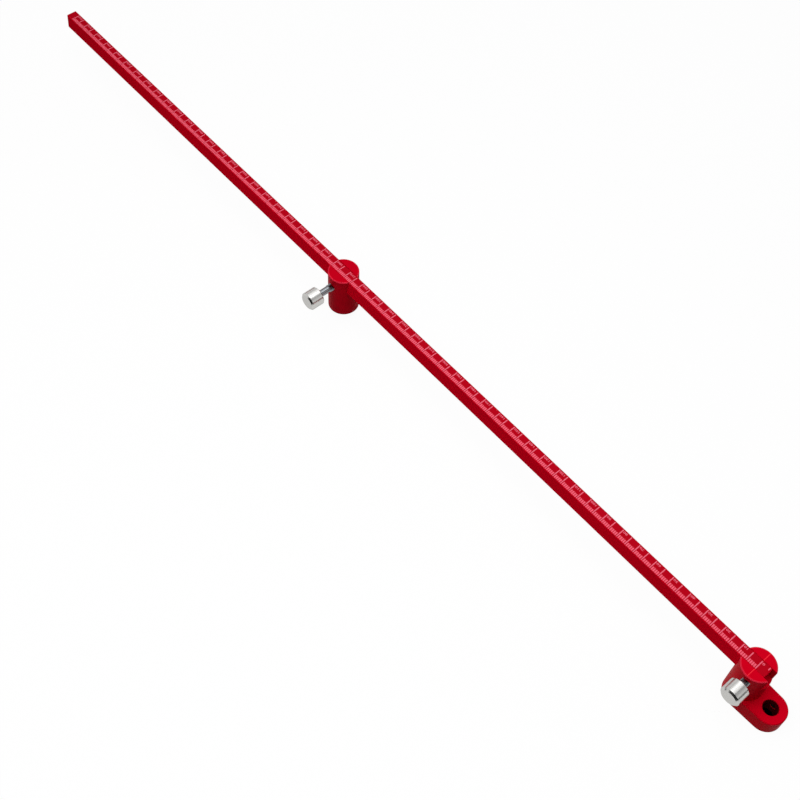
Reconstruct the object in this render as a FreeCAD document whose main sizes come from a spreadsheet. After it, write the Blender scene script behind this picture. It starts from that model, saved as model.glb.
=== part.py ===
import FreeCAD, Part
import math
import os
import re
import Sketcher

# Beam compass, in millimetres.
#
# A graduated dovetail beam carries two round blocks. The head block has a lug with the
# pencil bore. The slider block has the centre point under it. Each block is clamped by a
# thumb screw that presses a swivel pad on the beam's near side.
#
# Frame: X runs along the beam, away from the pencil. Z is up. The near side, with the
# thumb screws, is +Y. The origin is where the pencil bore's axis meets the base plane.

DIMENSIONS = [
    ("beam_length", 530.0, "graduated beam, end to end"),
    ("beam_height", 8.2, "beam, top to underside"),
    ("beam_top_width", 5.8, "beam across its graduated top"),
    ("beam_base_width", 7.4, "beam across its underside"),
    ("beam_edge_break", 0.2, "chamfer on the beam's edges"),
    ("beam_overhang", 5.0, "from the zero mark to the beam's near end"),
    ("beam_recess", 0.05, "beam's top below the blocks' tops"),
    ("groove_clearance", 0.05, "between the beam and the groove's sides and floor"),
    ("block_diameter", 16.0, "slider block and head block"),
    ("block_chamfer", 0.4, "chamfer on the blocks' rims"),
    ("slider_height", 26.0, "slider block"),
    ("slider_reading", 273.0, "slider's place on the scale"),
    ("head_height", 31.0, "head block, base to top"),
    ("lug_thickness", 9.6, "pencil lug"),
    ("lug_reach", 14.2, "from the head's axis to the pencil's axis"),
    ("lug_end_diameter", 15.2, "pencil lug's rounded end"),
    ("pencil_diameter", 7.0, "bore in the lug"),
    ("pencil_mouth", 0.3, "chamfer at the top of the pencil bore"),
    ("index_width", 0.4, "index line across the head's top"),
    ("index_depth", 0.12, "index line's depth"),
    ("thread_diameter", 4.0, "clamp screw's thread, outside"),
    ("thread_clearance", 0.05, "between a screw and its tapped hole"),
    ("thread_sink", 0.6, "end of the clamp screw's thread inside the block"),
    ("tip_chamfer", 0.4, "chamfer at a clamp screw's tip and thread end"),
    ("neck_diameter", 3.5, "clamp screw's plain neck"),
    ("slider_screw_drop", 6.7, "slider's clamp screw below the block's top"),
    ("head_screw_drop", 4.7, "head's clamp screw below the block's top"),
    ("head_screw_setback", 0.8, "head's clamp screw from the block's axis, pencil side"),
    ("slider_neck", 8.3, "neck between the slider block and its knob"),
    ("head_neck", 3.2, "neck between the head block and its knob"),
    ("knob_diameter", 9.6, "thumb screw's knob"),
    ("knob_length", 7.5, "thumb screw's knob"),
    ("knob_front_round", 1.0, "round at the knob's outer rim"),
    ("knob_back_round", 0.5, "round at the knob's inner rim"),
    ("knob_socket", 5.0, "how deep the neck sits in the knob"),
    ("pad_diameter", 3.0, "swivel pad at the clamp screw's tip"),
    ("pad_thickness", 1.2, "swivel pad, without its spigot"),
    ("pad_gap", 0.03, "between the pad, the beam and the screw"),
    ("spigot_diameter", 1.4, "swivel pad's spigot"),
    ("spigot_length", 1.5, "swivel pad's spigot"),
    ("spigot_clearance", 0.05, "between the spigot and its hole"),
    ("needle_diameter", 3.0, "centre point's shank"),
    ("needle_shank", 8.0, "shank inside the slider block"),
    ("needle_collar", 1.5, "plain length below the slider block"),
    ("needle_tip_diameter", 0.3, "blunted end of the centre point"),
    ("grub_diameter", 3.0, "pencil set screw's thread, outside"),
    ("grub_length", 2.5, "pencil set screw"),
    ("grub_chamfer", 0.3, "chamfer on the set screw and its plug"),
    ("socket_flats", 1.5, "hexagon socket across flats"),
    ("socket_depth", 1.2, "hexagon socket"),
    ("plug_length", 1.1, "grip plug between the set screw and the pencil"),
    ("plug_sink", 0.2, "plug's face behind the pencil bore's wall at rest"),
]
ALIASES = [alias for alias, _, _ in DIMENSIONS]

# Formulas that several pieces share.
SIDE_SLOPE = "((beam_base_width - beam_top_width) / 2 / beam_height)"
BLOCK_RADIUS = "(block_diameter / 2)"
LUG_END_RADIUS = "(lug_end_diameter / 2)"
BEAM_TOP = "(head_height - beam_recess)"
SLIDER_X = "(lug_reach + slider_reading)"
HEAD_SCREW_X = "(lug_reach - head_screw_setback)"
OVERCUT = "1"   # how far a cutter runs past the face that it opens

doc = FreeCAD.newDocument("beam_compass")
sheet = doc.addObject("Spreadsheet::Sheet", "dims")


def fill_sheet():
    """Write each driving dimension as a plain number with its alias and its meaning."""
    for row, (alias, number, meaning) in enumerate(DIMENSIONS, start=1):
        sheet.set("A%d" % row, alias)
        sheet.set("B%d" % row, str(number))
        sheet.set("C%d" % row, meaning)
        sheet.setAlias("B%d" % row, alias)
    doc.recompute()


def on_sheet(formula):
    """Turn a formula of dimension names into an expression on the sheet."""
    def tied(word):
        return "dims." + word.group() if word.group() in ALIASES else word.group()
    return re.sub(r"[a-z_]+", tied, formula)


def value_of(formula):
    """Work a formula out now, for a first drawing and for finding edges."""
    return float(sheet.evalExpression(on_sheet(formula)))


def bind(thing, prop, formula):
    """Tie a property to the sheet."""
    thing.setExpression(prop, on_sheet(formula))


# ---------------------------------------------------------------- sketches

def new_body(label):
    """A PartDesign body whose label is its node's name."""
    body = doc.addObject("PartDesign::Body", label)
    body.Label = label
    return body


def new_sketch(body, name, role, height="0"):
    """A sketch on one of the body's own origin planes, raised along its normal."""
    plane = next(item for item in body.Origin.OriginFeatures if item.Role == role)
    sketch = body.newObject("Sketcher::SketchObject", body.Label + "_" + name)
    sketch.AttachmentSupport = (plane, [""])
    sketch.MapMode = "FlatFace"
    bind(sketch, "AttachmentOffset.Base.z", height)
    return sketch


def tie_point(sketch, geometry, point, across, up):
    """Hold a sketch point at a pair of formulas, measured from the sketch's origin."""
    for kind, formula, axis in (("DistanceX", across, -2), ("DistanceY", up, -1)):
        if formula == "0":
            sketch.addConstraint(Sketcher.Constraint("PointOnObject", geometry, point, axis))
            continue
        rule = Sketcher.Constraint(kind, -1, 1, geometry, point, value_of(formula))
        number = sketch.addConstraint(rule)
        bind(sketch, "Constraints[%d]" % number, formula)


def draw_polygon(sketch, corners):
    """A closed outline of straight lines through corners given as formulas."""
    spots = [FreeCAD.Vector(value_of(across), value_of(up), 0) for across, up in corners]
    count = len(spots)
    for index in range(count):
        sketch.addGeometry(Part.LineSegment(spots[index], spots[(index + 1) % count]), False)
    for index in range(count):
        joined = Sketcher.Constraint("Coincident", index, 2, (index + 1) % count, 1)
        sketch.addConstraint(joined)
    for index, (across, up) in enumerate(corners):
        tie_point(sketch, index, 1, across, up)


def draw_circle(sketch, across, up, radius):
    """A circle whose centre and radius are formulas."""
    centre = FreeCAD.Vector(value_of(across), value_of(up), 0)
    circle = Part.Circle(centre, FreeCAD.Vector(0, 0, 1), value_of(radius))
    index = sketch.addGeometry(circle, False)
    number = sketch.addConstraint(Sketcher.Constraint("Radius", index, value_of(radius)))
    bind(sketch, "Constraints[%d]" % number, radius)
    tie_point(sketch, index, 3, across, up)


# ---------------------------------------------------------------- features

def settle(body, before=None):
    """Recompute, and stop if the body failed or a cut took nothing away."""
    doc.recompute()
    for item in [body] + body.Group:
        if "Invalid" in item.State or "Error" in item.State:
            raise RuntimeError(item.Label + " failed: " + str(item.State))
    if before is not None and body.Shape.Volume >= before - 1e-6:
        raise RuntimeError("a cut in " + body.Label + " removed nothing")


def add_pad(body, sketch, length, centred=False):
    """Pad a sketch along its normal."""
    pad = body.newObject("PartDesign::Pad", sketch.Label + "_pad")
    pad.Profile = sketch
    pad.Midplane = centred
    bind(pad, "Length", length)
    settle(body)
    return pad


def add_turning(body, sketch):
    """Revolve a half profile about the sketch's vertical axis."""
    turning = body.newObject("PartDesign::Revolution", sketch.Label + "_turning")
    turning.Profile = sketch
    turning.ReferenceAxis = (sketch, ["V_Axis"])
    turning.Angle = 360
    settle(body)
    return turning


def cut_pocket(body, sketch, depth=None, towards_normal=False, both_ways=False):
    """Cut a sketch out of the body, to a depth or right through."""
    before = body.Shape.Volume
    pocket = body.newObject("PartDesign::Pocket", sketch.Label + "_cut")
    pocket.Profile = sketch
    pocket.Reversed = towards_normal
    pocket.Midplane = both_ways
    if depth is None:
        pocket.Type = "ThroughAll"
    else:
        bind(pocket, "Length", depth)
    settle(body, before)
    return pocket


def break_edges(body, base, kind, size, chosen):
    """Chamfer or fillet the edges of a feature that pass a test."""
    edges = enumerate(base.Shape.Edges, start=1)
    names = ["Edge%d" % number for number, edge in edges if chosen(edge)]
    if not names:
        raise RuntimeError("no edge to break on " + base.Label)
    broken = body.newObject("PartDesign::" + kind, base.Label + "_" + kind.lower())
    broken.Base = (base, names)
    bind(broken, "Size" if kind == "Chamfer" else "Radius", size)
    settle(body)
    return broken


def near(first, second):
    """Whether two lengths agree."""
    return abs(first - second) < 1e-5


def lies_at_height(edge, height):
    """Whether an edge lies wholly in a level plane."""
    return near(edge.BoundBox.ZMin, height) and near(edge.BoundBox.ZMax, height)


def is_rim(edge, along, radius):
    """Whether an edge is a turned piece's full circle at this place on its Y axis."""
    if not isinstance(edge.Curve, Part.Circle):
        return False
    return near(edge.Curve.Center.y, along) and near(edge.Curve.Radius, radius)


def stand_at(body, x="0", y="0", z="0", half_turn=False):
    """Put a body at its place; a half turn about Z faces it the other way."""
    for prop, formula in (("x", x), ("y", y), ("z", z)):
        bind(body, "Placement.Base." + prop, formula)
    if half_turn:
        bind(body, "Placement.Rotation.Angle", "180")
    doc.recompute()


# ---------------------------------------------------------------- beam

def beam_half_width(depth):
    """Formula of the beam's half width at a depth under its top."""
    return "(beam_top_width / 2 + %s * (%s))" % (SIDE_SLOPE, depth)


def make_beam():
    """The dovetail bar, with its top at its own Z zero."""
    body = new_body("beam")
    sketch = new_sketch(body, "section", "YZ_Plane")
    top, base = "beam_top_width / 2", "beam_base_width / 2"
    draw_polygon(sketch, [("-(%s)" % base, "-beam_height"), (base, "-beam_height"),
                          (top, "0"), ("-(%s)" % top, "0")])
    bar = add_pad(body, sketch, "beam_length")
    break_edges(body, bar, "Chamfer", "beam_edge_break", lambda edge: True)
    stand_at(body, x="lug_reach - beam_overhang", z=BEAM_TOP)
    return body


# ---------------------------------------------------------------- blocks

def cut_groove(body, block_height):
    """Cut the open-top dovetail groove that the beam slides in."""
    mouth = "%s + groove_clearance" % beam_half_width("-beam_recess - " + OVERCUT)
    floor = "%s + groove_clearance" % beam_half_width("beam_height + groove_clearance")
    brim = "%s + %s" % (block_height, OVERCUT)
    bed = "%s - beam_recess - beam_height - groove_clearance" % block_height
    sketch = new_sketch(body, "groove", "YZ_Plane")
    draw_polygon(sketch, [("-(%s)" % floor, bed), (floor, bed),
                          (mouth, brim), ("-(%s)" % mouth, brim)])
    cut_pocket(body, sketch, both_ways=True)


def cut_clamp_hole(body, block_height, x, drop):
    """Drill the clamp screw's hole from the groove's wall out through the near side."""
    radius = "(thread_diameter / 2 + thread_clearance)"
    wall = beam_half_width("%s - %s" % (drop, radius))
    sketch = new_sketch(body, "clamp_hole", "XZ_Plane", height="-" + wall)
    draw_circle(sketch, x, "%s - %s" % (block_height, drop), radius)
    cut_pocket(body, sketch)


def make_slider_block():
    """The round block that slides along the beam, bored below for the centre point."""
    body = new_body("slider_block")
    outline = new_sketch(body, "outline", "XY_Plane")
    draw_circle(outline, "0", "0", BLOCK_RADIUS)
    drum = add_pad(body, outline, "slider_height")
    height = value_of("slider_height")
    break_edges(body, drum, "Chamfer", "block_chamfer",
                lambda edge: lies_at_height(edge, 0) or lies_at_height(edge, height))
    cut_groove(body, "slider_height")
    cut_clamp_hole(body, "slider_height", "0", "slider_screw_drop")
    bore = new_sketch(body, "needle_bore", "XY_Plane")
    draw_circle(bore, "0", "0", "needle_diameter / 2")
    cut_pocket(body, bore, depth="needle_shank", towards_normal=True)
    stand_at(body, x=SLIDER_X, z="head_height - slider_height")
    return body


def draw_lug_outline(sketch):
    """An arc on the pencil's axis and one on the head's axis, joined by tangents."""
    end_radius, head_radius = value_of(LUG_END_RADIUS), value_of(BLOCK_RADIUS)
    reach = value_of("lug_reach")
    upright = FreeCAD.Vector(0, 0, 1)
    turn = math.pi / 2 + math.asin((head_radius - end_radius) / reach)
    across, up = math.cos(turn), math.sin(turn)
    pencil_end = Part.Circle(FreeCAD.Vector(0, 0, 0), upright, end_radius)
    head_end = Part.Circle(FreeCAD.Vector(reach, 0, 0), upright, head_radius)

    def tangent_point(centre, radius, side):
        return FreeCAD.Vector(centre + radius * across, side * radius * up, 0)

    far_side = Part.LineSegment(tangent_point(0, end_radius, -1),
                                tangent_point(reach, head_radius, -1))
    near_side = Part.LineSegment(tangent_point(reach, head_radius, 1),
                                 tangent_point(0, end_radius, 1))
    sketch.addGeometry(Part.ArcOfCircle(pencil_end, turn, 2 * math.pi - turn), False)
    sketch.addGeometry(far_side, False)
    sketch.addGeometry(Part.ArcOfCircle(head_end, -turn, turn), False)
    sketch.addGeometry(near_side, False)
    for first, second in ((0, 1), (1, 2), (2, 3), (3, 0)):
        sketch.addConstraint(Sketcher.Constraint("Tangent", first, 2, second, 1))
    for arc, radius in ((0, LUG_END_RADIUS), (2, BLOCK_RADIUS)):
        number = sketch.addConstraint(Sketcher.Constraint("Radius", arc, value_of(radius)))
        bind(sketch, "Constraints[%d]" % number, radius)
    tie_point(sketch, 0, 3, "0", "0")
    tie_point(sketch, 2, 3, "lug_reach", "0")


def make_head_block():
    """The round head and its pencil lug, one machined piece standing on its base."""
    body = new_body("head_block")
    lug = new_sketch(body, "lug", "XY_Plane")
    draw_lug_outline(lug)
    foot = add_pad(body, lug, "lug_thickness")
    thickness = value_of("lug_thickness")
    break_edges(body, foot, "Chamfer", "block_chamfer",
                lambda edge: lies_at_height(edge, 0) or lies_at_height(edge, thickness))
    outline = new_sketch(body, "drum", "XY_Plane", height="lug_thickness / 2")
    draw_circle(outline, "lug_reach", "0", BLOCK_RADIUS)
    drum = add_pad(body, outline, "head_height - lug_thickness / 2")
    height = value_of("head_height")
    break_edges(body, drum, "Chamfer", "block_chamfer",
                lambda edge: lies_at_height(edge, height))
    cut_groove(body, "head_height")
    cut_clamp_hole(body, "head_height", HEAD_SCREW_X, "head_screw_drop")
    bore = new_sketch(body, "pencil_bore", "XY_Plane")
    draw_circle(bore, "0", "0", "pencil_diameter / 2")
    bored = cut_pocket(body, bore, depth="lug_thickness", towards_normal=True)
    pencil_radius = value_of("pencil_diameter / 2")
    break_edges(body, bored, "Chamfer", "pencil_mouth",
                lambda edge: lies_at_height(edge, thickness)
                and isinstance(edge.Curve, Part.Circle)
                and near(edge.Curve.Radius, pencil_radius))
    grub = new_sketch(body, "grub_hole", "XZ_Plane")
    draw_circle(grub, "0", "lug_thickness / 2", "grub_diameter / 2 + thread_clearance")
    cut_pocket(body, grub, towards_normal=True)
    index = new_sketch(body, "index_line", "XY_Plane", height="head_height")
    left, right = "lug_reach - index_width / 2", "lug_reach + index_width / 2"
    draw_polygon(index, [(left, "-" + BLOCK_RADIUS), (right, "-" + BLOCK_RADIUS),
                         (right, BLOCK_RADIUS), (left, BLOCK_RADIUS)])
    cut_pocket(body, index, depth="index_depth")
    return body


# ---------------------------------------------------------------- thumb screws

def pad_face_at(drop):
    """Formula of the swivel pad's face, on the axis of a clamp screw."""
    return "(%s + pad_gap)" % beam_half_width("%s - beam_recess" % drop)


def tip_at(drop):
    """Formula of a clamp screw's tip, behind its swivel pad."""
    return "(%s + pad_thickness + pad_gap)" % pad_face_at(drop)


def make_clamp_pad(label, x, drop):
    """The swivel pad: a disc cut to the slope of the beam's side, with a spigot."""
    body = new_body(label)
    sketch = new_sketch(body, "profile", "XY_Plane")
    disc, spigot = "pad_diameter / 2", "spigot_diameter / 2"
    lean = "(%s * pad_diameter)" % SIDE_SLOPE
    draw_polygon(sketch, [("0", "-" + lean), (disc, "-" + lean), (disc, "pad_thickness"),
                          (spigot, "pad_thickness"),
                          (spigot, "pad_thickness + spigot_length"),
                          ("0", "pad_thickness + spigot_length")])
    add_turning(body, sketch)
    wedge = new_sketch(body, "slope", "YZ_Plane")
    draw_polygon(wedge, [(lean, "-pad_diameter"), ("-" + lean, "pad_diameter"),
                         ("-(%s + %s)" % (lean, OVERCUT), "pad_diameter"),
                         ("-(%s + %s)" % (lean, OVERCUT), "-pad_diameter")])
    cut_pocket(body, wedge, both_ways=True)
    stand_at(body, x=x, y=pad_face_at(drop), z="head_height - " + drop)
    return body


def make_clamp_screw(label, x, drop, exposed_neck):
    """The steel stem: thread, plain neck, and a hole in the tip for the pad's spigot."""
    body = new_body(label)
    thread, neck = "thread_diameter / 2", "neck_diameter / 2"
    hole = "spigot_diameter / 2 + spigot_clearance"
    hole_depth = "spigot_length + spigot_clearance"
    thread_end = "%s - thread_sink - %s" % (BLOCK_RADIUS, tip_at(drop))
    stem_end = "%s + %s + knob_socket - %s" % (BLOCK_RADIUS, exposed_neck, tip_at(drop))
    sketch = new_sketch(body, "profile", "XY_Plane")
    draw_polygon(sketch, [(hole, "0"), (thread + " - tip_chamfer", "0"),
                          (thread, "tip_chamfer"),
                          (thread, "%s - (%s - %s)" % (thread_end, thread, neck)),
                          (neck, thread_end), (neck, stem_end), ("0", stem_end),
                          ("0", hole_depth), (hole, hole_depth)])
    add_turning(body, sketch)
    stand_at(body, x=x, y=tip_at(drop), z="head_height - " + drop)
    return body


def make_knob(label, x, drop, exposed_neck):
    """The smooth turned knob, pressed on the neck."""
    body = new_body(label)
    rim, socket = "knob_diameter / 2", "neck_diameter / 2"
    sketch = new_sketch(body, "profile", "XY_Plane")
    draw_polygon(sketch, [(socket, "0"), (rim, "0"), (rim, "knob_length"),
                          ("0", "knob_length"), ("0", "knob_socket"),
                          (socket, "knob_socket")])
    turned = add_turning(body, sketch)
    radius, length = value_of(rim), value_of("knob_length")
    softened = break_edges(body, turned, "Fillet", "knob_front_round",
                           lambda edge: is_rim(edge, length, radius))
    break_edges(body, softened, "Fillet", "knob_back_round",
                lambda edge: is_rim(edge, 0, radius))
    stand_at(body, x=x, y="%s + %s" % (BLOCK_RADIUS, exposed_neck),
             z="head_height - " + drop)
    return body


def make_thumb_screw(block, x, drop, exposed_neck):
    """The pad, the stem and the knob that clamp one block to the beam."""
    pad = make_clamp_pad(block + "_clamp_pad", x, drop)
    screw = make_clamp_screw(block + "_clamp_screw", x, drop, exposed_neck)
    knob = make_knob(block + "_knob", x, drop, exposed_neck)
    return [pad, screw, knob]


# ---------------------------------------------------------------- points and set screw

def make_pivot_needle():
    """The hardened centre point, pressed in the slider block from below."""
    body = new_body("pivot_needle")
    sketch = new_sketch(body, "profile", "XZ_Plane")
    shank, tip = "needle_diameter / 2", "needle_tip_diameter / 2"
    shoulder = "head_height - slider_height - needle_collar"
    top = "head_height - slider_height + needle_shank"
    draw_polygon(sketch, [("0", "0"), (tip, "0"), (shank, shoulder), (shank, top),
                          ("0", top)])
    add_turning(body, sketch)
    stand_at(body, x=SLIDER_X)
    return body


def make_grip_plug():
    """The soft plug that the set screw pushes on the pencil; its face is local Y zero."""
    body = new_body("pencil_grip_plug")
    sketch = new_sketch(body, "profile", "XY_Plane")
    rim = "grub_diameter / 2"
    draw_polygon(sketch, [("0", "0"), (rim + " - grub_chamfer", "0"),
                          (rim, "grub_chamfer"), (rim, "plug_length"),
                          ("0", "plug_length")])
    add_turning(body, sketch)
    stand_at(body, y="-(pencil_diameter / 2 + plug_sink)", z="lug_thickness / 2",
             half_turn=True)
    return body


def make_set_screw():
    """The socket set screw behind the plug, with its hexagon facing outwards."""
    body = new_body("pencil_set_screw")
    sketch = new_sketch(body, "profile", "XY_Plane")
    rim = "grub_diameter / 2"
    draw_polygon(sketch, [("0", "0"), (rim + " - grub_chamfer", "0"),
                          (rim, "grub_chamfer"), (rim, "grub_length - grub_chamfer"),
                          (rim + " - grub_chamfer", "grub_length"), ("0", "grub_length")])
    add_turning(body, sketch)
    flat, half_side = "socket_flats / 2", "socket_flats / 2 / sqrt(3)"
    point = "socket_flats / sqrt(3)"
    hexagon = new_sketch(body, "hexagon", "XZ_Plane", height="-grub_length")
    draw_polygon(hexagon, [(flat, "-" + half_side), (flat, half_side), ("0", point),
                           ("-" + flat, half_side), ("-" + flat, "-" + half_side),
                           ("0", "-" + point)])
    cut_pocket(body, hexagon, depth="socket_depth", towards_normal=True)
    stand_at(body, y="-(pencil_diameter / 2 + plug_sink + plug_length + pad_gap)",
             z="lug_thickness / 2", half_turn=True)
    return body


# ---------------------------------------------------------------- whole object

def write_steps(bodies):
    """Check every piece and write each to its own STEP file."""
    doc.recompute()
    for body in bodies:
        settle(body)
        shape = body.Shape
        if shape.isNull() or not shape.isValid() or len(shape.Solids) != 1:
            raise RuntimeError(body.Label + " is not one valid solid")
    os.makedirs("parts", exist_ok=True)
    for body in bodies:
        body.Shape.exportStep("parts/" + body.Label + ".step")
        print(body.Label, "volume", round(body.Shape.Volume, 2))


fill_sheet()
pieces = [make_beam(), make_slider_block(), make_pivot_needle(), make_head_block()]
pieces += make_thumb_screw("slider", SLIDER_X, "slider_screw_drop", "slider_neck")
pieces += make_thumb_screw("head", HEAD_SCREW_X, "head_screw_drop", "head_neck")
pieces += [make_grip_plug(), make_set_screw()]
write_steps(pieces)
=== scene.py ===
"""Beam compass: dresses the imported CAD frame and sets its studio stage."""

import math

import bmesh
import bpy
from mathutils import Matrix, Vector


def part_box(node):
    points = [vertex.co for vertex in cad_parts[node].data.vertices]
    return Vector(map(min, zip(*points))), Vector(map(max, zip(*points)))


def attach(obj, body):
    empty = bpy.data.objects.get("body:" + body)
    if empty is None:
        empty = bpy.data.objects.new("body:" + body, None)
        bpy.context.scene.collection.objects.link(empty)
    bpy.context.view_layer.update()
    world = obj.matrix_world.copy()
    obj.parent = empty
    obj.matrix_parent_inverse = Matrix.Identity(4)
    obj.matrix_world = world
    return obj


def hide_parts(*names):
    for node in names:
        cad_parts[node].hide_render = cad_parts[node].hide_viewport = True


bl_info = {
    "name": "Beam compass",
    "version": (1, 0, 0),
    "blender": (4, 5, 0),
    "location": "View3D > Sidebar > Beam compass",
    "description": "Scale, threads, finishes and stage of a 530 mm beam compass",
    "category": "Object",
}

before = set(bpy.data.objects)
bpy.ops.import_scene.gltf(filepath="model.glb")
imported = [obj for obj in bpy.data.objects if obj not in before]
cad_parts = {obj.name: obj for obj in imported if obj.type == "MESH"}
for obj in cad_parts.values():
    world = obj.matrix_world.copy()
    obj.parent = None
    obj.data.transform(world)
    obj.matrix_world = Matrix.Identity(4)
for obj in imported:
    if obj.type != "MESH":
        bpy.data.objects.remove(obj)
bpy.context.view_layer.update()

MM = 0.001
FULL_TURN = 2 * math.pi
Y_AXIS, Z_AXIS = 1, 2
# Half the flat that the beam's top keeps between its broken edges.
FLAT_HALF_WIDTH = 2.7 * MM


def low(node):
    """The lowest corner of a CAD node's box, in metres."""
    return Vector(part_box(node)[0])


def high(node):
    """The highest corner of a CAD node's box, in metres."""
    return Vector(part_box(node)[1])


def middle(node):
    """The middle of a CAD node's box, in metres."""
    return (low(node) + high(node)) / 2


def scale_zero():
    """Where the scale starts along X: the axis of the head's drum."""
    return high("head_block").x - high("head_block").y


def srgb(code):
    """Turns an sRGB hex colour into linear values, with an alpha of one."""
    parts = [int(code[i:i + 2], 16) / 255 for i in (1, 3, 5)]
    linear = [p / 12.92 if p <= 0.04045 else ((p + 0.055) / 1.055) ** 2.4 for p in parts]
    return tuple(linear) + (1.0,)


def darker(colour, share):
    """The colour with only a share of its light."""
    return tuple(share * c for c in colour[:3]) + (1.0,)


# ------------------------------------------------------------------ settings

def length_prop(name, description, millimetres):
    """A length of the object that a user may change."""
    return bpy.props.FloatProperty(name=name, description=description,
                                   default=millimetres * MM, min=0, precision=5,
                                   subtype="DISTANCE", unit="LENGTH")


def colour_prop(name, description, code):
    """A colour of the object that a user may change."""
    return bpy.props.FloatVectorProperty(name=name, description=description, size=4,
                                         default=srgb(code), min=0, max=1, subtype="COLOR")


class ScaleSettings(bpy.types.PropertyGroup):
    """Sizes of the scale on the beam."""

    last_mark: bpy.props.IntProperty(
        name="Last mark", description="Last millimetre of the scale", default=520, min=10)
    mark_width: length_prop("Mark width", "Width of the 5 and 10 mm lines", 0.48)
    short_width: length_prop("Short width", "Width of the millimetre lines", 0.74)
    mark_height: length_prop("Mark height", "How far the lines stand up from the beam", 0.02)
    edge_gap: length_prop("Edge gap", "Bare strip left along both edges of the flat", 0.15)
    short_mark: length_prop("Short mark", "Length of a millimetre line", 1.8)
    figure_height: length_prop("Figure height", "Height of the figures", 1.05)
    figure_gap: length_prop("Figure gap", "Space between a figure and its line", 0.6)
    figure_stretch: bpy.props.FloatProperty(
        name="Figure stretch", description="Width of the figures against their font's",
        default=1.6, min=0.5, max=2)


class ThreadSettings(bpy.types.PropertyGroup):
    """Sizes of the clamp screws that a plain solid leaves out."""

    pitch: length_prop("Pitch", "Pitch of the M4 coarse thread", 0.7)
    root_depth: length_prop("Root depth", "Depth of the thread under its crests", 0.43)
    crest_width: length_prop("Crest width", "Flat left on the thread's crests", 0.09)
    reach: length_prop("Reach", "How far out from the beam's middle the thread runs", 10.3)


class KnobSettings(bpy.types.PropertyGroup):
    """Sizes of the thumb knobs' turned form."""

    chamfer: length_prop("Chamfer", "Broad chamfer round a knob's face", 0.85)
    back_break: length_prop("Back break", "Broken edge at a knob's back", 0.35)
    socket: length_prop("Socket", "Depth of the socket for the stem", 5)
    socket_radius: length_prop("Socket radius", "Radius of the socket for the stem", 1.77)


class FinishSettings(bpy.types.PropertyGroup):
    """Colours of the finishes."""

    slider_dye: colour_prop("Slider dye", "Red of the anodised slider", "#C6001B")
    head_dye: colour_prop("Head dye", "Red of the anodised head", "#D3001D")
    beam_dye: colour_prop("Beam dye", "Red of the anodised beam", "#DC001E")
    # Painted shade: the beam's top flat is painted a darker red.
    dye_flat: colour_prop("Shade on the flat", "Darker red painted as shade on the milled flat", "#B5071B")
    # Paler red on the blocks' rims: partly thinner dye at edges, partly a painted highlight.
    dye_edge: colour_prop("Pale edges and highlight", "Thinner dye and a painted highlight along broken edges", "#DE2840")
    # Painted shade: the pencil bore's wall is painted near black.
    soot: colour_prop("Bore shade", "Dark red painted as shade in the pencil bore", "#2A0508")
    marks: colour_prop("Marks", "Pale pink of the figures and long lines", "#F86B83")
    short_marks: colour_prop("Short marks", "Pink of the millimetre lines", "#FD6077")
    index: colour_prop("Index", "Bright red of the line on the head", "#FF1E32")
    nickel: colour_prop("Nickel", "Satin nickel of the knobs", "#CBCAC7")
    chrome: colour_prop("Chrome", "Bright plating of the stems", "#86898D")
    steel: colour_prop("Needle steel", "Ground hardened steel", "#A9A8A6")
    oxide: colour_prop("Black oxide", "Blackened set screw", "#1D1C1E")
    brass: colour_prop("Brass", "Turned brass of the swivel pads", "#D0A95C")
    nylon: colour_prop("Nylon", "Black nylon of the grip plug", "#1C1B1B")


class StageSettings(bpy.types.PropertyGroup):
    """Floor, room and lamps."""

    floor: colour_prop("Floor", "Pale floor, as it lights the object", "#848381")
    background: colour_prop("Background", "White of the floor to the eye", "#FFFFFF")
    walls: colour_prop("Walls", "White of the walls, as at the floor's far edge", "#FBFBFB")
    room: colour_prop("Room", "Soft light from all round", "#8E8E90")
    key: bpy.props.FloatProperty(
        name="Key lamp", description="Power of the soft box above the beam, in watts",
        default=4.9, min=0)
    back: bpy.props.FloatProperty(
        name="Back lamp", description="Power of the soft box behind the beam, in watts",
        default=19, min=0)


def settings(context, name):
    """One group of the settings that the panel shows."""
    return getattr(context.scene, "compass_" + name)


# ------------------------------------------------------------------ objects and nodes

def add_object(context, bm, name, material):
    """Makes a bmesh in metres an object of one material."""
    mesh = bpy.data.meshes.new(name)
    bm.to_mesh(mesh)
    bm.free()
    mesh.materials.append(material)
    made = bpy.data.objects.new(name, mesh)
    context.scene.collection.objects.link(made)
    return made


def finished(context, bm, name, body, material, stands_for=None):
    """Makes a bmesh a piece of the compass that rides on a body."""
    bmesh.ops.remove_doubles(bm, verts=bm.verts, dist=1e-7)
    bmesh.ops.recalc_face_normals(bm, faces=bm.faces)
    piece = add_object(context, bm, name, material)
    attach(piece, body)
    if stands_for:
        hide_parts(stands_for)
    return piece


def smooth_round(piece, degrees):
    """Shades round faces smooth and keeps edges sharper than the angle."""
    mesh = piece.data
    mesh.shade_smooth()
    mesh.set_sharp_from_angle(angle=math.radians(degrees))


def dress(node, material):
    """Gives a CAD node its finish."""
    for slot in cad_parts[node].material_slots:
        slot.material = material


def add_node(tree, kind, inputs=(), stops=(), **options):
    """Adds a node, sets its options and a ramp's stops, and sets or joins its inputs."""
    node = tree.nodes.new(kind)
    for name, value in options.items():
        setattr(node, name, value)
    for number, (position, colour) in enumerate(stops):
        node.color_ramp.elements[number].position = position
        node.color_ramp.elements[number].color = colour
    for key, value in dict(inputs).items():
        if isinstance(value, bpy.types.NodeSocket):
            tree.links.new(value, node.inputs[key])
        else:
            node.inputs[key].default_value = value
    return node


def empty_tree(owner):
    """The node tree of a material or a world, with nothing in it."""
    owner.use_nodes = True
    owner.node_tree.nodes.clear()
    return owner.node_tree


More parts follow.
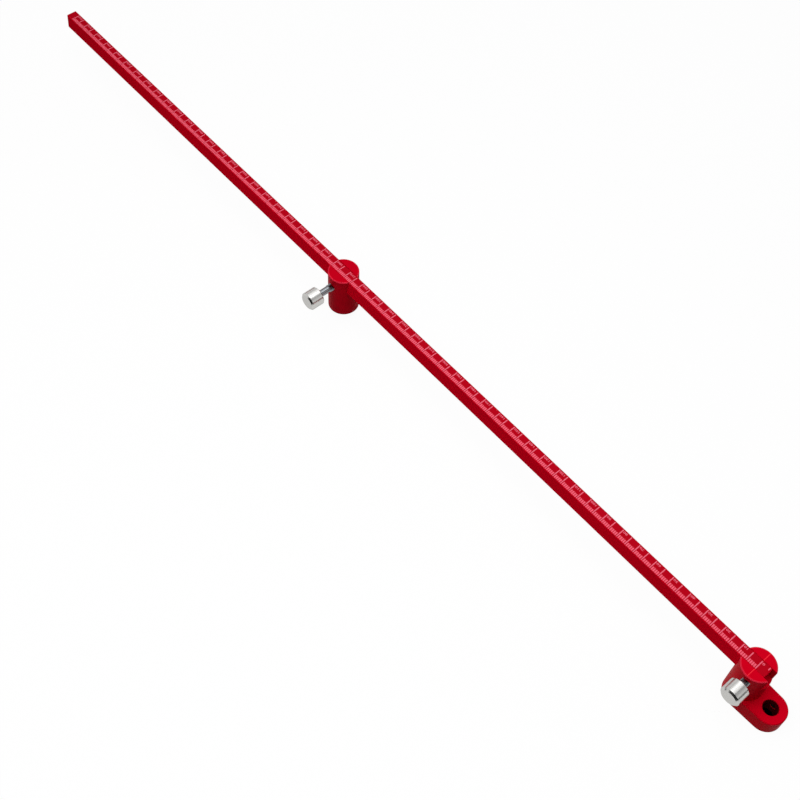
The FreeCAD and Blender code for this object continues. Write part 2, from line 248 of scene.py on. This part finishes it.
def new_material(name):
    """A material, with its tree, its Principled shader and Object coordinates."""
    material = bpy.data.materials.new(name)
    tree = empty_tree(material)
    shader = add_node(tree, "ShaderNodeBsdfPrincipled")
    add_node(tree, "ShaderNodeOutputMaterial", {"Surface": shader.outputs[0]})
    place = add_node(tree, "ShaderNodeTexCoord").outputs["Object"]
    return material, tree, shader, place


# ------------------------------------------------------------------ finishes

def anodised_aluminium(name, dye, flat_shade_and_rim_highlight, lay, gloss, mask, soot=None):
    """Aluminium bead-blasted, anodised and dyed red.

    Gives a saturated red with a soft metallic sheen, no grain that the eye can follow,
    a slight cloudiness in the dye, and a second red where the mask is one: painted
    shade on the beam's top flat, and thinner dye with a painted highlight round the
    blocks' rims. Given a colour for it, the pencil bore is painted dark as shade.
    """
    cloud_size, pit_spacing = 6.25 * MM, MM / 3.3
    material, tree, shader, place = new_material(name)
    # The dye bath leaves clouds, which follow the metal's lay.
    laid = add_node(tree, "ShaderNodeMapping", {"Vector": place, "Scale": lay})
    clouds = add_node(tree, "ShaderNodeTexNoise",
                      {"Vector": laid.outputs[0], "Scale": 1 / cloud_size, "Detail": 3.0,
                       "Roughness": 0.55})
    tint = add_node(tree, "ShaderNodeValToRGB", {"Fac": clouds.outputs["Fac"]},
                    stops=((0.3, darker(dye, 0.93)), (0.7, tuple(dye))))
    toned = add_node(tree, "ShaderNodeMix",
                     {"Factor": mask(tree, place), 6: tint.outputs["Color"],
                      7: tuple(flat_shade_and_rim_highlight)}, data_type="RGBA")
    colour = toned.outputs[2]
    # Painted shade: the wall of the pencil bore is painted dark.
    if soot is not None:
        shaded_bore = add_node(tree, "ShaderNodeMix",
                         {"Factor": in_pencil_bore(tree, place), 6: colour,
                          7: tuple(soot)}, data_type="RGBA")
        colour = shaded_bore.outputs[2]
    tree.links.new(colour, shader.inputs["Base Color"])
    shader.inputs["Metallic"].default_value = 0.06
    shader.inputs["Specular IOR Level"].default_value = gloss
    shader.inputs["Specular Tint"].default_value = srgb("#FF3038")
    # Glass beads of 0.1 mm leave pits too fine to show, so they are drawn 0.3 mm apart.
    pits = add_node(tree, "ShaderNodeTexNoise",
                    {"Vector": place, "Scale": 1 / pit_spacing, "Detail": 2.0})
    rough = add_node(tree, "ShaderNodeMapRange",
                     {"Value": pits.outputs["Fac"], "To Min": 0.36, "To Max": 0.5})
    tree.links.new(rough.outputs[0], shader.inputs["Roughness"])
    bump = add_node(tree, "ShaderNodeBump",
                    {"Height": pits.outputs["Fac"], "Strength": 0.02, "Distance": 0.05 * MM})
    tree.links.new(bump.outputs[0], shader.inputs["Normal"])
    return material


def turned_metal(name, node, colour, axis, roughness, ring_spacing, ring_strength):
    """Metal turned on a lathe, bare or plated, with faint rings about a node's own axis.

    Gives a mirror in the metal's own colour, blurred by its grain, that the rings streak.
    """
    material, tree, shader, place = new_material(name)
    rings = add_node(tree, "ShaderNodeTexNoise",
                     {"W": out_and_along(tree, place, middle(node), axis),
                      "Scale": 1 / ring_spacing, "Detail": 2.0}, noise_dimensions="1D")
    rough = add_node(tree, "ShaderNodeMapRange",
                     {"Value": rings.outputs["Fac"], "To Min": roughness * 0.93,
                      "To Max": roughness * 1.08})
    tree.links.new(rough.outputs[0], shader.inputs["Roughness"])
    shade = add_node(tree, "ShaderNodeValToRGB", {"Fac": rings.outputs["Fac"]},
                     stops=((0.25, darker(colour, 0.92)), (0.75, tuple(colour))))
    tree.links.new(shade.outputs["Color"], shader.inputs["Base Color"])
    bump = add_node(tree, "ShaderNodeBump",
                    {"Height": rings.outputs["Fac"], "Strength": ring_strength,
                     "Distance": 0.01 * MM})
    tree.links.new(bump.outputs[0], shader.inputs["Normal"])
    shader.inputs["Metallic"].default_value = 1.0
    shader.inputs["Specular Tint"].default_value = srgb("#DADADA")
    return material


def scale_infill(name, colour):
    """Anodising bleached by a laser, or paint in a groove: a chalky, matt line."""
    grain_size = 0.4 * MM
    material, tree, shader, place = new_material(name)
    grain = add_node(tree, "ShaderNodeTexNoise",
                     {"Vector": place, "Scale": 1 / grain_size, "Detail": 3.0})
    shade = add_node(tree, "ShaderNodeValToRGB", {"Fac": grain.outputs["Fac"]},
                     stops=((0.3, darker(colour, 0.85)), (0.6, tuple(colour))))
    tree.links.new(shade.outputs["Color"], shader.inputs["Base Color"])
    shader.inputs["Roughness"].default_value = 0.7
    shader.inputs["Specular IOR Level"].default_value = 0.2
    return material


def cut_nylon(name, colour):
    """Black nylon, cut from rod: an even dark plastic with a dull shine."""
    saw_marks = MM / 1.8
    material, tree, shader, place = new_material(name)
    grain = add_node(tree, "ShaderNodeTexNoise",
                     {"Vector": place, "Scale": 1 / saw_marks, "Detail": 2.0})
    rough = add_node(tree, "ShaderNodeMapRange",
                     {"Value": grain.outputs["Fac"], "To Min": 0.4, "To Max": 0.55})
    tree.links.new(rough.outputs[0], shader.inputs["Roughness"])
    shader.inputs["Base Color"].default_value = tuple(colour)
    return material


def off_axis(tree, offset, axis):
    """How far a point lies from an axis, by its offset from a point on it."""
    across = tuple(0.0 if i == axis else 1.0 for i in range(3))
    flat = add_node(tree, "ShaderNodeVectorMath", {0: offset, 1: across},
                    operation="MULTIPLY")
    length = add_node(tree, "ShaderNodeVectorMath", {0: flat.outputs[0]}, operation="LENGTH")
    return length.outputs["Value"]


def out_and_along(tree, place, centre, axis):
    """The way out from an axis plus the way along it, so rings run on faces and on sides."""
    offset = add_node(tree, "ShaderNodeVectorMath", {0: place, 1: tuple(centre)},
                      operation="SUBTRACT").outputs[0]
    along = add_node(tree, "ShaderNodeSeparateXYZ", {0: offset}).outputs[axis]
    total = add_node(tree, "ShaderNodeMath", {0: off_axis(tree, offset, axis), 1: along},
                     operation="ADD")
    return total.outputs[0]


def in_pencil_bore(tree, place):
    """Finds the wall of the pencil bore, whose axis is the frame's Z, for its painted shade."""
    shade_start, dark = 3.85 * MM, 3.45 * MM
    near = add_node(tree, "ShaderNodeMapRange",
                    {"Value": off_axis(tree, place, Z_AXIS), "From Min": shade_start,
                     "From Max": dark})
    return near.outputs[0]


def on_flat(tree, place):
    """Finds the beam's milled top flat, on which a darker red is painted as shade."""
    top = high("beam").z
    below, at_flat = top - 0.08 * MM, top - 0.02 * MM
    height = add_node(tree, "ShaderNodeSeparateXYZ", {0: place}).outputs[2]
    near = add_node(tree, "ShaderNodeMapRange",
                    {"Value": height, "From Min": below, "From Max": at_flat})
    return near.outputs[0]


def rim_mask(axis_x, radius, top, chamfer):
    """Finds the broken rim round the top of a round block, whose paler red is thinner dye and a
    painted highlight.
    """
    # All over the chamfer, the way out plus the way up is the same. It is less inside.
    on_chamfer = radius + top - chamfer
    inside = on_chamfer - 0.8 * chamfer

    def mask(tree, place):
        reach = out_and_along(tree, place, (axis_x, 0, 0), Z_AXIS)
        edge = add_node(tree, "ShaderNodeMapRange",
                        {"Value": reach, "From Min": inside, "From Max": on_chamfer})
        return edge.outputs[0]
    return mask


# ------------------------------------------------------------------ shapes

def plate(bm, lowest, highest):
    """Adds a rectangular plate between two corners."""
    lowest, highest = Vector(lowest), Vector(highest)
    place = Matrix.Translation((lowest + highest) / 2) @ Matrix.Diagonal(
        (highest - lowest).to_4d())
    bmesh.ops.create_cube(bm, size=1, matrix=place)


def turn_profile(bm, profile, centre, steps):
    """Turns a profile of (radius, station) pairs about a line through centre along Y."""
    verts = [bm.verts.new(centre + Vector((radius, station, 0))) for radius, station in profile]
    edges = [bm.edges.new(pair) for pair in zip(verts, verts[1:])]
    bmesh.ops.spin(bm, geom=verts + edges, cent=centre, axis=(0, 1, 0), dvec=(0, 0, 0),
                   angle=FULL_TURN, steps=steps, use_merge=True)


def figure_mesh(context, text, height, stretch, thickness):
    """One number as a mesh that stands on its own zero."""
    digit_share, bolder = 0.73, 0.03 * MM
    curve = bpy.data.curves.new("figure_" + text, "FONT")
    curve.body = text
    curve.size = height / digit_share
    curve.resolution_u = 2
    curve.extrude = thickness
    curve.offset = bolder
    carrier = bpy.data.objects.new("figure_" + text, curve)
    context.scene.collection.objects.link(carrier)
    graph = context.evaluated_depsgraph_get()
    mesh = bpy.data.meshes.new_from_object(carrier.evaluated_get(graph))
    mesh.transform(Matrix.Diagonal((stretch, 1, 1, 1)))
    bpy.data.objects.remove(carrier)
    bpy.data.curves.remove(curve)
    return mesh


def clamp_screw(thread, node):
    """A clamp screw along Y: a hollow tip for the pad, a rolled thread and a plain neck."""
    tip, end = low(node).y, high(node).y
    centre = Vector((middle(node).x, 0, middle(node).z))
    crest, neck = 2.0 * MM, 1.75 * MM
    root = crest - thread.root_depth
    hollow, hollow_end = 0.75 * MM, tip + 1.55 * MM
    tip_break, taper = 0.05 * MM, 0.15 * MM
    bm = bmesh.new()
    turn_profile(bm, [(0, hollow_end), (hollow, hollow_end), (hollow, tip),
                      (root - tip_break, tip), (root, tip + taper),
                      (root, thread.reach - taper), (neck, thread.reach), (neck, end),
                      (0, end)], centre, steps=48)
    # One ridge of the thread, its foot sunk in the core, wound along the screw.
    bare_end, sunk, half_foot = 0.3 * MM, 0.03 * MM, 0.31 * MM
    fewest_steps, steps_per_turn = 8, 32
    start = tip + bare_end
    turns = (thread.reach - bare_end - start) / thread.pitch
    steps = max(fewest_steps, round(steps_per_turn * turns))
    foot, half_crest = root - sunk, thread.crest_width / 2
    section = [bm.verts.new(centre + Vector((r, start + y, 0)))
               for r, y in ((foot, -half_foot), (crest, -half_crest), (crest, half_crest),
                            (foot, half_foot))]
    edges = [bm.edges.new((section[i], section[(i + 1) % 4])) for i in range(4)]
    first = bmesh.ops.contextual_create(bm, geom=section + edges)["faces"]
    bmesh.ops.spin(bm, geom=section + edges + first, cent=centre, axis=(0, 1, 0),
                   dvec=(0, turns * thread.pitch / steps, 0), angle=FULL_TURN * turns,
                   steps=steps, use_merge=False)
    return bm


def turned_knob(knob, node):
    """A plain round knob along Y, its socket open at the back."""
    back, front = low(node).y, high(node).y
    radius = (high(node).x - low(node).x) / 2
    centre = Vector((middle(node).x, 0, middle(node).z))
    bm = bmesh.new()
    turn_profile(bm, [(0, back + knob.socket), (knob.socket_radius, back + knob.socket),
                      (knob.socket_radius, back), (radius - knob.back_break, back),
                      (radius, back + knob.back_break), (radius, front - knob.chamfer),
                      (radius - knob.chamfer, front), (0, front)], centre, steps=72)
    return bm


# ------------------------------------------------------------------ stage

def lay_floor(context, stage):
    """A pale matt floor; the camera and the metal see it as white, with a faint shadow."""
    material = bpy.data.materials.new("matt_paper_floor")
    tree = empty_tree(material)
    paper = add_node(tree, "ShaderNodeBsdfDiffuse", {"Color": tuple(stage.floor)})
    # Where the floor is shut in, as under a bore, ambient occlusion paints shade on it, as dark
    # as a real shadow.
    shut_in = add_node(tree, "ShaderNodeAmbientOcclusion", {"Distance": 20 * MM}, samples=64)
    openness = add_node(tree, "ShaderNodeMapRange",
                        {"Value": shut_in.outputs["AO"], "From Min": 0.23, "From Max": 0.3})
    # Only a strip along the beam is near enough to be shut in.
    strip_half_width = 45 * MM
    place = add_node(tree, "ShaderNodeTexCoord").outputs["Object"]
    across = add_node(tree, "ShaderNodeSeparateXYZ", {0: place}).outputs[1]
    near = add_node(tree, "ShaderNodeMath",
                    {0: across, 1: middle("beam").y, 2: strip_half_width},
                    operation="COMPARE")
    view = add_node(tree, "ShaderNodeMixShader",
                    {0: near.outputs[0], 1: white_paper(tree, stage, 1.0),
                     2: white_paper(tree, stage, openness.outputs[0])})
    blend = add_node(tree, "ShaderNodeMixShader",
                     {0: seen_by_eye(tree), 1: paper.outputs[0], 2: view.outputs[0]})
    add_node(tree, "ShaderNodeOutputMaterial", {"Surface": blend.outputs[0]})
    half_side = 6.0
    bm = bmesh.new()
    bmesh.ops.create_grid(bm, x_segments=1, y_segments=1, size=half_side)
    add_object(context, bm, "floor", material)


def white_paper(tree, stage, openness):
    """The floor as the eye has it: white where it is open, with a faint shadow, and painted
    shade where it is shut in.
    """
    glow_share = 0.95
    tone = add_node(tree, "ShaderNodeMix",
                    {"Factor": openness, 6: (0, 0, 0, 1), 7: tuple(stage.background)},
                    data_type="RGBA")
    lit = add_node(tree, "ShaderNodeBsdfDiffuse", {"Color": tone.outputs[2]})
    glow = add_node(tree, "ShaderNodeEmission", {"Color": tone.outputs[2]})
    both = add_node(tree, "ShaderNodeMixShader",
                    {0: glow_share, 1: lit.outputs[0], 2: glow.outputs[0]})
    return both.outputs[0]


def seen_by_eye(tree):
    """One for camera, glossy and transmission rays, and nought for the light itself."""
    path = add_node(tree, "ShaderNodeLightPath")
    pair = add_node(tree, "ShaderNodeMath",
                    {0: path.outputs["Is Camera Ray"], 1: path.outputs["Is Glossy Ray"]},
                    operation="MAXIMUM")
    trio = add_node(tree, "ShaderNodeMath",
                    {0: pair.outputs[0], 1: path.outputs["Is Transmission Ray"]},
                    operation="MAXIMUM")
    return trio.outputs[0]


def light_room(context, stage):
    """A white room to the eye, and a plain soft light on the object."""
    world = bpy.data.worlds.new("studio_room")
    context.scene.world = world
    tree = empty_tree(world)
    toward = add_node(tree, "ShaderNodeTexCoord").outputs["Generated"]
    # The side that the flags stand on gives least light.
    flags_side = (-0.75, 0.66, 0.0)
    facing = add_node(tree, "ShaderNodeVectorMath", {0: toward, 1: flags_side},
                      operation="DOT_PRODUCT")
    open_side = add_node(tree, "ShaderNodeMapRange",
                         {"Value": facing.outputs["Value"], "From Min": 0.25, "From Max": 0.9,
                          "To Min": 1.0, "To Max": 0.05}, interpolation_type="SMOOTHSTEP")
    soft = add_node(tree, "ShaderNodeBackground",
                    {"Color": tuple(stage.room), "Strength": open_side.outputs[0]})
    # Walls are white up to 20 degrees, and the ceiling from 60 degrees on is darker.
    walls_end, ceiling_start = math.sin(math.radians(20)), math.sin(math.radians(60))
    ceiling = (0.35, 0.35, 0.36, 1)
    height = add_node(tree, "ShaderNodeSeparateXYZ", {0: toward}).outputs[2]
    shade = add_node(tree, "ShaderNodeValToRGB", {"Fac": height},
                     stops=((walls_end, tuple(stage.walls)), (ceiling_start, ceiling)))
    white = add_node(tree, "ShaderNodeBackground",
                     {"Color": shade.outputs["Color"], "Strength": 1.0})
    blend = add_node(tree, "ShaderNodeMixShader",
                     {0: seen_by_eye(tree), 1: soft.outputs[0], 2: white.outputs[0]})
    add_node(tree, "ShaderNodeOutputWorld", {"Surface": blend.outputs[0]})


def hang_lamp(context, name, power, size, faced, reach):
    """A soft box of a size in metres that hangs at a reach from the point that it faces."""
    light = bpy.data.lights.new(name, "AREA")
    light.energy = power
    light.shape = "RECTANGLE"
    light.size, light.size_y = size
    lamp = bpy.data.objects.new(name, light)
    context.scene.collection.objects.link(lamp)
    lamp.location = faced + reach
    lamp.rotation_mode = "QUATERNION"
    lamp.rotation_quaternion = reach.to_track_quat("Z", "Y")
    return lamp


def stand_flags(context):
    """Curved black flags on the camera's side, which draw the dark lines on round metal."""
    distance, clearance = 1.2, 0.005
    bm = bmesh.new()
    # Each flag has its first angle from +X, its sweep round the beam, and its height.
    for first, sweep, height in ((72, 73, 1.9), (145, 65, 0.25)):
        outward = Vector((math.cos(math.radians(first)), math.sin(math.radians(first)), 0))
        foot = Vector((middle("beam").x, 0, clearance)) + distance * outward
        verts = [bm.verts.new(foot), bm.verts.new(foot + Vector((0, 0, height)))]
        bmesh.ops.spin(bm, geom=verts + [bm.edges.new(verts)], cent=middle("beam"),
                       axis=(0, 0, 1), dvec=(0, 0, 0), angle=math.radians(sweep), steps=16,
                       use_merge=False)
    # A black card lies in front, for the lowest part of the dark lines.
    card_corners = (-0.9, 0.09, 0.0005), (0.35, 1.15, 0.001)
    plate(bm, *card_corners)
    # Velvet is near to black from every side.
    material = bpy.data.materials.new("black_velvet")
    tree = empty_tree(material)
    velvet = add_node(tree, "ShaderNodeBsdfDiffuse", {"Color": srgb("#0A0A0A")})
    add_node(tree, "ShaderNodeOutputMaterial", {"Surface": velvet.outputs[0]})
    flags = add_object(context, bm, "flag", material)
    flags.visible_camera = False
    flags.visible_diffuse = False
    flags.visible_shadow = False


def place_camera(context):
    """The camera, high over the head's end and on the knobs' side."""
    place, aim = Vector((-22.3, 253.0, 513.4)) * MM, Vector((209.69, 29.2, 30.95)) * MM
    roll = Matrix.Rotation(math.radians(3.813), 3, "Z").to_quaternion()
    data = bpy.data.cameras.new("camera")
    data.sensor_width = 36.0
    data.sensor_fit = "HORIZONTAL"
    data.lens = 55.41
    data.clip_start = 0.01
    camera = bpy.data.objects.new("camera", data)
    context.scene.collection.objects.link(camera)
    camera.location = place
    camera.rotation_mode = "QUATERNION"
    camera.rotation_quaternion = (aim - place).to_track_quat("-Z", "Y") @ roll
    context.scene.camera = camera


# ------------------------------------------------------------------ steps

class COMPASS_OT_finish_beam(bpy.types.Operator):
    """Gives the beam its red anodising"""

    bl_idname = "compass.finish_beam"
    bl_label = "Finish beam"

    def execute(self, context):
        looks = settings(context, "finish")
        drawn_along_x = (0.25, 1, 1)
        # The top flat's darker red is painted shade.
        dress("beam", anodised_aluminium("red_anodised_drawn_aluminium", looks.beam_dye,
                                         looks.dye_flat, lay=drawn_along_x, gloss=0.0,
                                         mask=on_flat))
        return {"FINISHED"}


class COMPASS_OT_finish_blocks(bpy.types.Operator):
    """Gives the slider and head blocks their red anodising"""

    bl_idname = "compass.finish_blocks"
    bl_label = "Finish blocks"

    def execute(self, context):
        looks = settings(context, "finish")
        chamfer = 0.4 * MM
        # Both rims take a paler red that is partly a painted highlight; the head's pencil bore
        # gets painted shade.
        for node, axis_x, dye, soot in (
                ("slider_block", middle("slider_block").x, looks.slider_dye, None),
                ("head_block", scale_zero(), looks.head_dye, looks.soot)):
            rim = rim_mask(axis_x, high(node).y, high(node).z, chamfer)
            dress(node, anodised_aluminium("red_anodised_turned_" + node, dye,
                                           looks.dye_edge, lay=(1, 1, 1), gloss=0.012,
                                           mask=rim, soot=soot))
        return {"FINISHED"}


class COMPASS_OT_mark_scale(bpy.types.Operator):
    """Marks the beam's top with lines at every 1, 5 and 10 mm"""

    bl_idname = "compass.mark_scale"
    bl_label = "Mark scale"

    def execute(self, context):
        scale, looks = settings(context, "scale"), settings(context, "finish")
        zero, top = scale_zero(), high("beam").z
        raised = top + scale.mark_height
        flat = FLAT_HALF_WIDTH - scale.edge_gap
        far_gap = 0.2 * MM
        long_marks, short_marks = bmesh.new(), bmesh.new()
        for mark in range(scale.last_mark + 1):
            x = zero + mark * MM
            if mark % 5 == 0:
                bm, start, half = long_marks, -flat + far_gap, scale.mark_width / 2
            else:
                bm, start, half = short_marks, flat - scale.short_mark, scale.short_width / 2
            plate(bm, (x - half, start, top), (x + half, flat, raised))
        # The tool's run-in before zero leaves one short line.
        run_in, run_out, run_end = zero - 4.3 * MM, zero - 3.85 * MM, -1.1 * MM
        plate(long_marks, (run_in, -flat, top), (run_out, run_end, raised))
        finished(context, long_marks, "scale_long_marks", "beam",
                 scale_infill("lasered_anodising_long", looks.marks))
        finished(context, short_marks, "scale_short_marks", "beam",
                 scale_infill("lasered_anodising_short", looks.short_marks))
        return {"FINISHED"}


class COMPASS_OT_number_scale(bpy.types.Operator):
    """Numbers the scale at every tenth millimetre"""

    bl_idname = "compass.number_scale"
    bl_label = "Number scale"

    def execute(self, context):
        scale, looks = settings(context, "scale"), settings(context, "finish")
        zero, top = scale_zero(), high("beam").z
        baseline = -FLAT_HALF_WIDTH + 0.6 * MM
        half_height = scale.mark_height / 2
        bm = bmesh.new()
        for mark in range(0, scale.last_mark + 1, 10):
            figure = figure_mesh(context, str(mark), scale.figure_height,
                                 scale.figure_stretch, half_height)
            corner = max(v.co.x for v in figure.vertices)
            right = zero + mark * MM - scale.figure_gap
            figure.transform(Matrix.Translation((right - corner, baseline, top + half_height)))
            bm.from_mesh(figure)
            bpy.data.meshes.remove(figure)
        finished(context, bm, "scale_figures", "beam",
                 scale_infill("lasered_anodising_figures", looks.marks))
        return {"FINISHED"}


class COMPASS_OT_fill_index(bpy.types.Operator):
    """Fills the index groove across the head's top"""

    bl_idname = "compass.fill_index"
    bl_label = "Fill index line"

    def execute(self, context):
        groove_depth, paint_depth, half_width = 0.12 * MM, 0.11 * MM, 0.19 * MM
        inner, outer = 3.0 * MM, 7.66 * MM
        x, bottom = scale_zero(), high("head_block").z - groove_depth
        bm = bmesh.new()
        for start, end in ((-outer, -inner), (inner, outer)):
            plate(bm, (x - half_width, start, bottom),
                  (x + half_width, end, bottom + paint_depth))
        finished(context, bm, "head_index_line", "head",
                 scale_infill("index_line_paint", settings(context, "finish").index))
        return {"FINISHED"}


class COMPASS_OT_thread_screws(bpy.types.Operator):
    """Makes the two clamp screws, with their M4 threads"""

    bl_idname = "compass.thread_screws"
    bl_label = "Thread clamp screws"

    def execute(self, context):
        thread, looks = settings(context, "thread"), settings(context, "finish")
        for block in ("slider", "head"):
            node = block + "_clamp_screw"
            plating = turned_metal("bright_chromed_steel_" + block, node, looks.chrome,
                                   Y_AXIS, roughness=0.08, ring_spacing=0.4 * MM,
                                   ring_strength=0.03)
            piece = finished(context, clamp_screw(thread, node), block + "_threaded_screw",
                             block + "_thumb_screw", plating, node)
            smooth_round(piece, degrees=35)
        return {"FINISHED"}


class COMPASS_OT_turn_knobs(bpy.types.Operator):
    """Turns the two thumb knobs, with the broad chamfer round their faces"""

    bl_idname = "compass.turn_knobs"
    bl_label = "Turn knobs"

    def execute(self, context):
        knob, looks = settings(context, "knob"), settings(context, "finish")
        for block in ("slider", "head"):
            node = block + "_knob"
            plating = turned_metal("satin_nickel_" + node, node, looks.nickel, Y_AXIS,
                                   roughness=0.25, ring_spacing=0.3 * MM,
                                   ring_strength=0.006)
            piece = finished(context, turned_knob(knob, node), block + "_turned_knob",
                             block + "_thumb_screw", plating, node)
            smooth_round(piece, degrees=30)
        return {"FINISHED"}


class COMPASS_OT_finish_small_parts(bpy.types.Operator):
    """Gives the pads, the needle, the set screw and the plug their finishes"""

    bl_idname = "compass.finish_small_parts"
    bl_label = "Finish small parts"

    def execute(self, context):
        looks = settings(context, "finish")
        for node in ("slider_clamp_pad", "head_clamp_pad"):
            dress(node, turned_metal("turned_brass_" + node, node, looks.brass, Y_AXIS,
                                     roughness=0.3, ring_spacing=0.2 * MM,
                                     ring_strength=0.3))
        dress("pivot_needle",
              turned_metal("ground_hardened_steel", "pivot_needle", looks.steel, Z_AXIS,
                           roughness=0.2, ring_spacing=0.25 * MM, ring_strength=0.3))
        dress("pencil_set_screw",
              turned_metal("black_oxide_steel", "pencil_set_screw", looks.oxide, Y_AXIS,
                           roughness=0.38, ring_spacing=0.3 * MM, ring_strength=0.2))
        dress("pencil_grip_plug", cut_nylon("black_nylon", looks.nylon))
        return {"FINISHED"}


class COMPASS_OT_set_stage(bpy.types.Operator):
    """Sets the floor, the lamps and the camera"""

    bl_idname = "compass.set_stage"
    bl_label = "Set stage"

    def execute(self, context):
        stage = settings(context, "stage")
        lay_floor(context, stage)
        light_room(context, stage)
        hang_lamp(context, "key_softbox", stage.key, size=(0.75, 0.75),
                  faced=Vector((0.1, 0, 0)), reach=0.75 * Vector((0.12, 0.2, 0.93)))
        # The strip behind is there for the metal to reflect, and lights nothing else.
        strip = hang_lamp(context, "back_softbox", stage.back, size=(3.6, 1.6),
                          faced=middle("beam"), reach=3 * Vector((0.19, -0.42, 0.88)))
        strip.visible_diffuse = False
        stand_flags(context)
        place_camera(context)
        context.scene.view_settings.view_transform = "Standard"
        return {"FINISHED"}


class COMPASS_PT_panel(bpy.types.Panel):
    """Lists the settings and the steps of the beam compass"""

    bl_idname = "COMPASS_PT_panel"
    bl_label = "Beam compass"
    bl_space_type = "VIEW_3D"
    bl_region_type = "UI"
    bl_category = "Beam compass"

    def draw(self, context):
        for name in GROUPS:
            box = self.layout.box()
            group = settings(context, name)
            for prop in group.__annotations__:
                box.prop(group, prop)
        for operator in OPERATORS:
            self.layout.operator(operator.bl_idname)


GROUPS = {"scale": ScaleSettings, "thread": ThreadSettings, "knob": KnobSettings,
          "finish": FinishSettings, "stage": StageSettings}
OPERATORS = (COMPASS_OT_finish_beam, COMPASS_OT_finish_blocks, COMPASS_OT_mark_scale,
             COMPASS_OT_number_scale, COMPASS_OT_fill_index, COMPASS_OT_thread_screws,
             COMPASS_OT_turn_knobs, COMPASS_OT_finish_small_parts, COMPASS_OT_set_stage)


def register():
    """Registers the settings, the steps and the panel."""
    for kind in (*GROUPS.values(), *OPERATORS, COMPASS_PT_panel):
        bpy.utils.register_class(kind)
    for name, kind in GROUPS.items():
        setattr(bpy.types.Scene, "compass_" + name, bpy.props.PointerProperty(type=kind))


def unregister():
    """Removes the settings, the steps and the panel."""
    for name in GROUPS:
        delattr(bpy.types.Scene, "compass_" + name)
    for kind in (COMPASS_PT_panel, *reversed(OPERATORS), *reversed(GROUPS.values())):
        bpy.utils.unregister_class(kind)


def main():
    """Makes every piece in order."""
    register()
    for operator in OPERATORS:
        group, name = operator.bl_idname.split(".")
        getattr(getattr(bpy.ops, group), name)()


if __name__ == "__main__":
    main()
